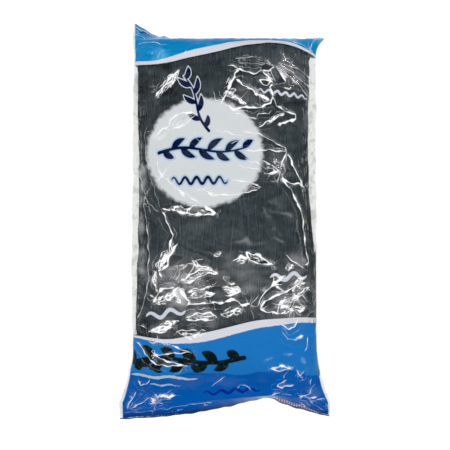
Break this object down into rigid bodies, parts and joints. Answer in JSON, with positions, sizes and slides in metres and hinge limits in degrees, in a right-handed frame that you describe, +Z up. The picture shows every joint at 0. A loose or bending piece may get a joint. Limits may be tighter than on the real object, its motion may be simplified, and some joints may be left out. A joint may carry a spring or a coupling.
{
  "type": "bag of dried wakame",
  "caption": "Long clear film bag packed with dried dark seaweed, flat on its back, with printed bands and a pale oval on its front and a flat seal across each end.",
  "frame": {"origin": "middle of the bag's footprint, at the level of the surface it lies on", "axes": "+X across the bag to the right of its print, +Y along it to its top end, +Z up out of the printed front"},
  "size_m": [0.31, 0.5868, 0.066],
  "materials": {
    "film": "clear, smooth and creased polymer film, seen over dark dried seaweed",
    "seaweed": "dried wakame: matt to satin, nearly black with a green or brown cast, in crumpled strands"
  },
  "bodies": {
    "root": {"wakame_bag": "film"}
  },
  "joints": []
}
